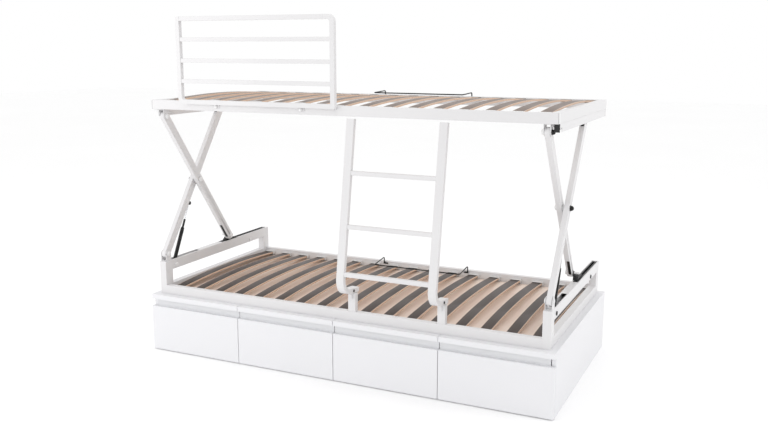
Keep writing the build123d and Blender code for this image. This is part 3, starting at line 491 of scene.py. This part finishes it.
def soften(node, width, segments=2, angle=35):
    o = NODES[node]
    w = o.modifiers.new("weld", "WELD")
    w.merge_threshold = 0.00002
    b = o.modifiers.new("bevel", "BEVEL")
    b.width = width
    b.segments = segments
    b.limit_method = "ANGLE"
    b.angle_limit = math.radians(angle)
    b.harden_normals = True


for name in ("cabinet_top_panels", "cabinet_side_panels", "drawer_1_front", "drawer_2_front", "drawer_3_front", "drawer_4_front"):
    soften(name, 0.0008)
for name in ("lower_laths", "upper_laths"):
    soften(name, 0.0012)
for name in ("lower_side_rails", "lower_end_rails", "front_corner_posts", "rear_corner_posts", "track_rails", "upper_side_rails",
             "upper_end_rails", "upper_rail_caps", "end_channels", "outer_arms", "inner_arms", "guard_bars", "ladder_rungs", "ladder_posts",
             "guard_clamps", "guard_hooks", "foot_straps", "lower_pivot_clevises", "upper_pivot_brackets"):
    soften(name, 0.0010, 2, 50)
for name in ("lower_lath_sockets", "upper_lath_sockets", "track_shoes", "channel_plugs"):
    soften(name, 0.0011)


# ------------------------------------------------- turned and moulded detail
def piece(name, pair, mat, body, slot, *nodes, bevel=0.0, smooth=True):
    o = add_mesh(name, *pair, mat, body, smooth, bevel)
    if nodes:
        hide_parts(*nodes)
    return o


def dome(centre, axis, r, depth, rim=0.002):
    """A domed cap: short straight rim, then a rounded crown."""
    prof = [(0.0, 0.0), (0.0, r - 0.0004), (0.0004, r), (rim, r)]
    for i in range(1, 13):
        a = math.pi / 2 * i / 12
        prof.append((rim + (depth - rim) * math.sin(a), r * math.cos(a) if i < 12 else 0.0))
    return revolve(prof, centre, axis, 36)


def dome_nut(centre, axis, r=0.0105, depth=0.014):
    """Hexagon nut on a thin washer, with a domed top."""
    washer = revolve([(0, 0), (0, r * 1.12), (0.0014, r * 1.12), (0.0014, 0)], centre, axis, 36)
    ax = Vector(axis)
    base = Vector(centre) + ax * 0.0014
    hexa = revolve([(0, 0), (0, r), (0.0062, r), (0.0072, r * 0.93), (0.0072, 0)], base, axis, 6)
    top = dome(base + ax * 0.0066, axis, r * 0.80, depth - 0.008, 0.0008)
    return merge(washer, hexa, top)


def ends(node):
    """The separate solids of a node by side: {-1: [...], 1: [...]} as (low, high)."""
    out = {-1: [], 1: []}
    for lo, hi in parts_of(node):
        out[1 if lo.x + hi.x > 0 else -1].append((lo, hi))
    return out


# domed white knobs on the inner side of each pivot
for node, body in (("lower_pivot_knobs", "root"), ("mid_pivot_knobs", "outer_arms"), ("upper_pivot_knobs", "upper_frame")):
    shapes = []
    for s, boxes in ends(node).items():
        for lo, hi in boxes:
            face = hi.x if s > 0 else lo.x
            tip = lo.x if s > 0 else hi.x
            c = Vector((face, (lo.y + hi.y) / 2, (lo.z + hi.z) / 2))
            shapes.append(dome(c, (-s, 0, 0), (hi.y - lo.y) / 2, abs(face - tip), 0.0026))
    piece(node + "_domed", merge(*shapes), WHITE_PLASTIC, body, "white_plastic", node)

# upper pivots: plain bolt, black dome nut on the right, white cap on the left
shapes, caps = [], []
for s, boxes in ends("upper_pivot_bolts").items():
    lo = Vector(map(min, zip(*[b[0] for b in boxes])))
    hi = Vector(map(max, zip(*[b[1] for b in boxes])))
    c = (lo + hi) / 2
    a, b = (lo.x, hi.x - 0.009) if s > 0 else (lo.x + 0.009, hi.x)
    piece(f"upper_pivot_shank_{'r' if s > 0 else 'l'}", revolve([(0, 0), (0, 0.006), (b - a, 0.006), (b - a, 0)], (a, c.y, c.z), (1, 0, 0), 32),
          ZINC, "upper_frame", "zinc_steel")
    at = (hi.x - 0.009, c.y, c.z) if s > 0 else (lo.x + 0.009, c.y, c.z)
    if s > 0:
        piece("upper_pivot_nut_right", dome_nut(at, (1, 0, 0), 0.0105, 0.0135), BLACK_STEEL, "upper_frame", "black_steel", "upper_pivot_bolts")
    else:
        piece("upper_pivot_cap_left", dome(at, (-1, 0, 0), 0.0105, 0.0085, 0.002), WHITE_PLASTIC, "upper_frame", "white_plastic")

# lower pivots: a white cap outside each clevis
shapes, shanks = [], []
for s, boxes in ends("lower_pivot_bolts").items():
    lo = Vector(map(min, zip(*[b[0] for b in boxes])))
    hi = Vector(map(max, zip(*[b[1] for b in boxes])))
    c = (lo + hi) / 2
    out = hi.x - 0.004 if s > 0 else lo.x + 0.004
    inn = lo.x if s > 0 else hi.x
    shapes.append(dome((out, c.y, c.z), (s, 0, 0), 0.0115, 0.0045, 0.0014))
    shanks.append(revolve([(0, 0), (0, 0.006), (abs(out - inn), 0.006), (abs(out - inn), 0)], (inn, c.y, c.z), (s, 0, 0), 32))
piece("lower_pivot_caps", merge(*shapes), WHITE_PLASTIC, "root", "white_plastic", "lower_pivot_bolts")
piece("lower_pivot_shanks", merge(*shanks), ZINC, "root", "zinc_steel")

# middle pivots and roller axles of the outer arms
ALO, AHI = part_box("outer_arms")
MID = ends("mid_pivot_knobs")
ROL = ends("upper_rollers")
nuts, spacers, axles = [], [], []
for s in (-1, 1):
    lo, hi = MID[s][0]
    y, z = (lo.y + hi.y) / 2, (lo.z + hi.z) / 2
    out = AHI.x * s
    nuts.append(dome_nut((out, y, z), (s, 0, 0), 0.0112, 0.0150))
    axles.append(revolve([(0, 0), (0, 0.006), (0.0525, 0.006), (0.0525, 0)], (s * 0.893, y, z), (s, 0, 0), 32))
    spacers.append(revolve([(0, 0.0061), (0, 0.012), (0.0075, 0.012), (0.0075, 0.0061), (0, 0.0061)], (s * 0.9155, y, z), (s, 0, 0), 32))
    rl, rh = ROL[s][0]
    ry, rz = (rl.y + rh.y) / 2, (rl.z + rh.z) / 2
    axles.append(revolve([(0, 0), (0, 0.006), (0.022, 0.006), (0.022, 0)], (s * 0.9345 - 0.011 if s > 0 else -0.9455, ry, rz), (1, 0, 0), 32))
piece("mid_pivot_nuts", merge(*nuts), BLACK_STEEL, "outer_arms", "black_steel", "outer_arm_bolts")
piece("mid_pivot_axles", merge(*axles), ZINC, "outer_arms", "zinc_steel")
piece("mid_pivot_spacers", merge(*spacers), WHITE_PLASTIC, "outer_arms", "white_plastic")

# plugs in the ends of the roller channels: black at the right, white at the left
boxes = parts_of("channel_plugs")
for tag, mat, slot, keep in (("right", BLACK_PLASTIC, "black_plastic", 1), ("left", WHITE_PLASTIC, "white_plastic", -1)):
    pairs = [box_mesh(lo, hi) for lo, hi in boxes if (lo.x + hi.x) * keep > 0]
    o = piece(f"channel_plugs_{tag}", merge(*pairs), mat, "upper_frame", slot, *(["channel_plugs"] if tag == "right" else []), bevel=0.0008)

# wire mattress stops with bent corners
for node, body in (("lower_mattress_stop", "root"), ("upper_mattress_stop", "upper_frame")):
    lo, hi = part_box(node)
    x0, x1 = lo.x + 0.003, hi.x - 0.003
    base, top = lo.z, hi.z - 0.003
    dip = top - (0.014 if node.startswith("lower") else 0.004)
    low = node.startswith("lower")
    foot = base - (0.010 if low else 0.0)
    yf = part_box("lower_lath_sockets")[1].y - 0.0044 if low else 0.4335
    pts = [(x0, yf, foot), (x0, yf - 0.0005, top), (x0, 0.300, dip), (x1, 0.300, dip), (x1, yf - 0.0005, top), (x1, yf, foot)]
    piece(node + "_wire", tube(arc_path(pts, 0.009, 8), 0.003, 14), BLACK_STEEL, body, "black_steel", node)
    if low:
        # moulded end plugs against the rail's inner face
        plug = [(0.0, 0.0), (0.0, 0.0030), (0.001, 0.0040), (0.024, 0.0040), (0.025, 0.0032), (0.025, 0.0)]
        piece(node + "_plugs", merge(revolve(plug, (x0 - 0.004, yf, foot), (1, 0, 0), 20), revolve(plug, (x1 + 0.004, yf, foot), (-1, 0, 0), 20)),
              BLACK_PLASTIC, body, "black_plastic")

# guard rail: bent hooks over the front rail, domed screws in the clamps
hooks = []
for lo, hi in parts_of("guard_hooks"):
    if hi.z - lo.z > 0.003 or hi.y - lo.y > 0.020:
        t = hi.z - 0.0025
        hooks.append(prism([(-0.4500, t), (-0.4500, t + 0.0050), (-0.4470, t + 0.0072), (-0.4250, t + 0.0072), (-0.4212, t + 0.0045), (-0.4210, t - 0.0115), (-0.4235, t - 0.0115), (-0.4235, t)],
                           (lo.x + hi.x) / 2 - 0.019, (lo.x + hi.x) / 2 + 0.019, "x"))
piece("guard_hooks_bent", merge(*hooks), WHITE_STEEL, "upper_frame", "white_powder_coat", "guard_hooks", bevel=0.0010)
screws = []
for lo, hi in parts_of("guard_clamps"):
    screws.append(dome(((lo.x + hi.x) / 2 - 0.004, lo.y + 0.002, (lo.z + hi.z) / 2), (0, -1, 0), 0.0080, 0.0065, 0.0020))
piece("guard_clamp_caps", merge(*screws), WHITE_PLASTIC, "upper_frame", "white_plastic")

# gas struts: lacquered cylinder with rolled ends, dust tube, bright rod
CYL = ends("strut_cylinders")
ROD = ends("strut_rods")
BRK = ends("strut_brackets")
tubes, necks, rods, eyes, lows = [], [], [], [], []
for s in (-1, 1):
    lo = Vector(map(min, zip(*[b[0] for b in ROD[s]])))
    hi = Vector(map(max, zip(*[b[1] for b in ROD[s]])))
    xc = (lo.x + hi.x) / 2
    up = Vector((xc, hi.y - 0.0075, hi.z - 0.0075))
    clo = Vector(map(min, zip(*[b[0] for b in CYL[s]])))
    pin = Vector((xc, clo.y + 0.0125, clo.z + 0.0125))
    d = (up - pin).normalized()
    L = (up - pin).length
    p0 = pin + d * 0.013
    prof = [(0.0, 0.0), (0.0, 0.0050), (0.004, 0.0078), (0.008, 0.0090), (0.158, 0.0090), (0.162, 0.0086), (0.165, 0.0082), (0.168, 0.0086), (0.170, 0.0076), (0.170, 0.0036), (0.150, 0.0036), (0.148, 0.0056), (0.022, 0.0056), (0.020, 0.0)]
    tubes.append(revolve(prof, p0, d, 36))
    necks.append(revolve([(0, 0.0036), (0, 0.0052), (0.040, 0.0052), (0.042, 0.0046), (0.042, 0.0036), (0, 0.0036)], p0 + d * 0.1702, d, 28))
    rods.append(revolve([(0, 0), (0, 0.0030), (L - 0.0066 - 0.150, 0.0030), (L - 0.0066 - 0.150, 0)], pin + d * 0.150, d, 24))
    eyes.append(revolve([(-0.0035, 0.0032), (-0.0035, 0.0072), (-0.003, 0.0075), (0.003, 0.0075), (0.0035, 0.0072), (0.0035, 0.0032), (-0.0035, 0.0032)], up, (1, 0, 0), 32))
    lows.append(revolve([(-0.004, 0.0105), (-0.004, 0.0121), (-0.0036, 0.0125), (0.0036, 0.0125), (0.004, 0.0121), (0.004, 0.0105), (-0.004, 0.0105)], pin, (1, 0, 0), 36))
piece("strut_tubes", merge(*tubes, *lows), BLACK_STEEL, "strut_cylinders", "black_steel", "strut_cylinders")
piece("strut_dust_tubes", merge(*necks), BLACK_PLASTIC, "strut_cylinders", "black_plastic")
piece("strut_piston_rods", merge(*rods), CHROME, "strut_rods", "chrome_rod", "strut_rods")
piece("strut_rod_eyes", merge(*eyes), BLACK_STEEL, "strut_rods", "black_steel")
paint("strut_brackets", BLACK_STEEL)


# low wedge shoes: a thin cheek by the arm's foot, a wedge behind it, a key in the groove
lo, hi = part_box("track_shoes")
rail_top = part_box("track_rails")[1].z
SHO = ends("track_shoes")
fx = ends("foot_axles")
shoe_parts = []
for s in (-1, 1):
    alo, ahi = fx[s][0]
    fy, fz = (alo.y + ahi.y) / 2, (alo.z + ahi.z) / 2
    z0 = rail_top + 0.0008
    cheek = [(fy - 0.009, z0), (fy - 0.0085, fz)]
    for i in range(0, 9):
        a = math.pi - math.pi * i / 8
        cheek.append((fy + 0.0085 * math.cos(a), fz + 0.0085 * math.sin(a)))
    cheek += [(fy + 0.014, fz - 0.010), (fy + 0.024, z0 + 0.016), (fy + 0.024, z0)]
    x0, x1 = sorted((s * 0.9180, s * 0.9215))
    shoe_parts.append(prism(cheek, x0, x1, "x"))
    wedge = [(fy - 0.006, z0), (fy - 0.005, z0 + 0.006), (fy + 0.012, z0 + 0.019), (fy + 0.034, z0 + 0.020), (fy + 0.062, z0 + 0.012), (fy + 0.094, z0 + 0.003), (fy + 0.096, z0)]
    x0, x1 = sorted((s * 0.9180, s * 0.9390))
    shoe_parts.append(prism(wedge, x0, x1, "x"))
    x0, x1 = sorted((s * 0.9308, s * 0.9382))
    shoe_parts.append(prism([(fy - 0.006, z0 - 0.008), (fy - 0.006, z0 + 0.001), (fy + 0.036, z0 + 0.001), (fy + 0.036, z0 - 0.008)], x0, x1, "x"))
piece("wedge_shoes", merge(*shoe_parts), BLACK_PLASTIC, "track_shoes", "black_plastic", "track_shoes", bevel=0.0012)

# -------------------------------------------------------------------- stage
bpy.ops.mesh.primitive_plane_add(size=40, location=(0, 0, 0))
floor = bpy.context.active_object
floor.name = "floor"
fm = M("floor_pale", rough=0.85, spec=0.1)
fm.color(fm.ramp(fm.noise(0.6, 3.0), (0.3, (0.985, 0.985, 0.985)), (0.7, (0.995, 0.995, 0.995))))
floor.data.materials.append(fm.mat)

world = bpy.data.worlds.new("studio")
bpy.context.scene.world = world
world.use_nodes = True
bg = world.node_tree.nodes["Background"]
bg.inputs[0].default_value = (1, 1, 1, 1)
bg.inputs[1].default_value = 1.0


def area(name, loc, target, size, power, col=(1, 1, 1)):
    d = bpy.data.lights.new(name, "AREA")
    d.shape = "RECTANGLE"
    d.size, d.size_y = size
    d.energy = power
    d.color = col
    o = bpy.data.objects.new(name, d)
    o.location = loc
    o.rotation_euler = (Vector(target) - Vector(loc)).to_track_quat("-Z", "Y").to_euler()
    bpy.context.scene.collection.objects.link(o)
    return o


area("key", (-3.3, -3.0, 1.7), (-0.7, 0, 0.7), (2.2, 2.0), 34)
area("front", (-1.2, -4.6, 0.6), (-0.4, 0, 0.3), (2.6, 0.9), 3)
area("side", (3.8, 0.4, 2.3), (0.9, 0, 1.0), (1.6, 1.6), 15)
area("top", (0.0, 0.3, 4.4), (0, 0, 0.4), (3.0, 2.0), 14)

cam_data = bpy.data.cameras.new("camera")
cam = bpy.data.objects.new("camera", cam_data)
cam.location = (1.7279, -3.6438, 1.4459)
cam.rotation_euler = (math.pi / 2 - 0.1945, 0, 0.4377)
cam_data.sensor_width = 36
cam_data.lens = 867.08 * 36 / 768
cam_data.clip_end = 200
bpy.context.scene.collection.objects.link(cam)
bpy.context.scene.camera = cam
bpy.context.scene.view_settings.view_transform = "Standard"
